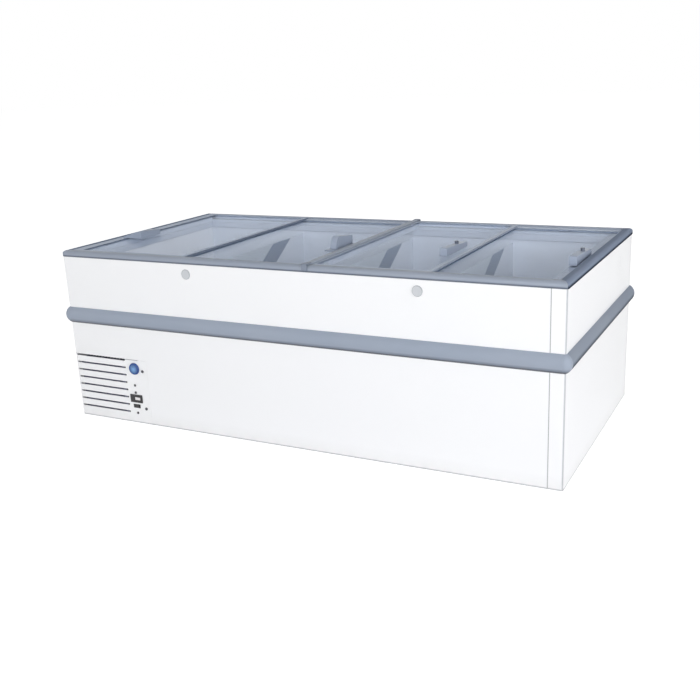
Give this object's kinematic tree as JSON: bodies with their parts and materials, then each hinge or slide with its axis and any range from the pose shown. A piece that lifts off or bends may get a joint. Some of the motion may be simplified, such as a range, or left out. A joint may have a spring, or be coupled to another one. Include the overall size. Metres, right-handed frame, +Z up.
{
  "type": "chest freezer",
  "caption": "Low, long chest freezer for shop floors with sliding glass lids in two pairs, grey rim and bumper, and a machine bay with controls at the lower left",
  "frame": {"origin": "on the floor, under the middle of the bounding box", "axes": "+X along the front to the right, +Y to the rear, +Z up; the controls are at the front, on the -Y side"},
  "size_m": [2.0998, 1.0598, 0.7603],
  "materials": {
    "white_sheet": "gloss",
    "zinc_sheet": "satin",
    "foam": "matte",
    "liner_sheet": "satin",
    "collar_plastic": "satin",
    "rim_plastic": "satin",
    "lid_plastic": "satin",
    "handle_plastic": "satin",
    "lid_glass": "polished",
    "bumper_plastic": "satin",
    "copper_tube": "satin",
    "black_metal": "satin",
    "fin_metal": "matte",
    "black_plastic": "satin",
    "foot_rubber": "matte",
    "dial_blue": "gloss",
    "lens_pale": "gloss",
    "lamp_dark": "gloss",
    "cap_grey": "satin",
    "lock_metal": "polished"
  },
  "bodies": {
    "cabinet": {"front_panel": "white_sheet", "rear_panel": "white_sheet", "end_panel_left": "white_sheet", "end_panel_right": "white_sheet", "machine_cover": "white_sheet", "base_pan": "zinc_sheet", "bay_liner": "zinc_sheet", "fan_bracket": "zinc_sheet", "cover_screws": "zinc_sheet", "foam_insulation": "foam", "liner_front": "liner_sheet", "liner_rear": "liner_sheet", "liner_left": "liner_sheet", "liner_right": "liner_sheet", "liner_floor": "liner_sheet", "dividers": "liner_sheet", "breaker_collar": "collar_plastic", "rim_front": "rim_plastic", "rim_rear": "rim_plastic", "rim_left": "rim_plastic", "rim_right": "rim_plastic", "centre_bar": "rim_plastic", "bar_end_caps": "rim_plastic", "bumper_front": "bumper_plastic", "bumper_rear": "bumper_plastic", "bumper_left": "bumper_plastic", "bumper_right": "bumper_plastic", "bumper_corners": "bumper_plastic", "evaporator_coils": "copper_tube", "refrigerant_pipes": "copper_tube", "filter_drier": "copper_tube", "compressor": "black_metal", "condenser": "fin_metal", "fan_motor": "fin_metal", "control_box": "black_plastic", "display_unit": "black_plastic", "switch_bezel": "black_plastic", "cable_gland": "black_plastic", "levelling_feet": "foot_rubber", "compressor_mounts": "foot_rubber", "display_lens": "lens_pale", "indicator_lamps": "lamp_dark", "plug_caps": "cap_grey"},
    "lid_1": {"lid_1_frame": "lid_plastic", "lid_1_glass": "lid_glass", "lid_1_handle": "handle_plastic"},
    "lid_2": {"lid_2_frame": "lid_plastic", "lid_2_glass": "lid_glass", "lid_2_handle": "handle_plastic"},
    "lid_3": {"lid_3_frame": "lid_plastic", "lid_3_glass": "lid_glass", "lid_3_handle": "handle_plastic"},
    "lid_4": {"lid_4_frame": "lid_plastic", "lid_4_glass": "lid_glass", "lid_4_handle": "handle_plastic"},
    "lock_3": {"lid_3_lock": "lock_metal"},
    "lock_4": {"lid_4_lock": "lock_metal"},
    "knob": {"thermostat_knob": "dial_blue"},
    "rocker": {"switch_rocker": "black_plastic"},
    "fan": {"fan_blade": "black_plastic"}
  },
  "joints": [
    {"name": "lid_1_slide", "type": "slide", "parent": "cabinet", "child": "lid_1", "axis": [1, 0, 0], "range_m": [0, 0.45]},
    {"name": "lid_2_slide", "type": "slide", "parent": "cabinet", "child": "lid_2", "axis": [1, 0, 0], "range_m": [-0.45, 0]},
    {"name": "lid_3_slide", "type": "slide", "parent": "cabinet", "child": "lid_3", "axis": [1, 0, 0], "range_m": [0, 0.35]},
    {"name": "lid_4_slide", "type": "slide", "parent": "cabinet", "child": "lid_4", "axis": [1, 0, 0], "range_m": [-0.35, 0]},
    {"name": "lock_3_turn", "type": "hinge", "parent": "lid_3", "child": "lock_3", "pos_m": [0.507, -0.085, 0.74], "axis": [0, 0, 1], "range_deg": [0, 90]},
    {"name": "lock_4_turn", "type": "hinge", "parent": "lid_4", "child": "lock_4", "pos_m": [0.972, -0.085, 0.735], "axis": [0, 0, 1], "range_deg": [0, 90]},
    {"name": "knob_turn", "type": "hinge", "parent": "cabinet", "child": "knob", "pos_m": [-0.722, -0.51, 0.25], "axis": [0, -1, 0], "range_deg": [-135, 135]},
    {"name": "rocker_tilt", "type": "hinge", "parent": "cabinet", "child": "rocker", "pos_m": [-0.729, -0.507, 0.089], "axis": [0, 0, 1], "range_deg": [0, 16]},
    {"name": "fan_spin", "type": "hinge", "parent": "cabinet", "child": "fan", "pos_m": [-0.904, -0.42, 0.151], "axis": [0, 1, 0], "continuous": true}
  ]
}
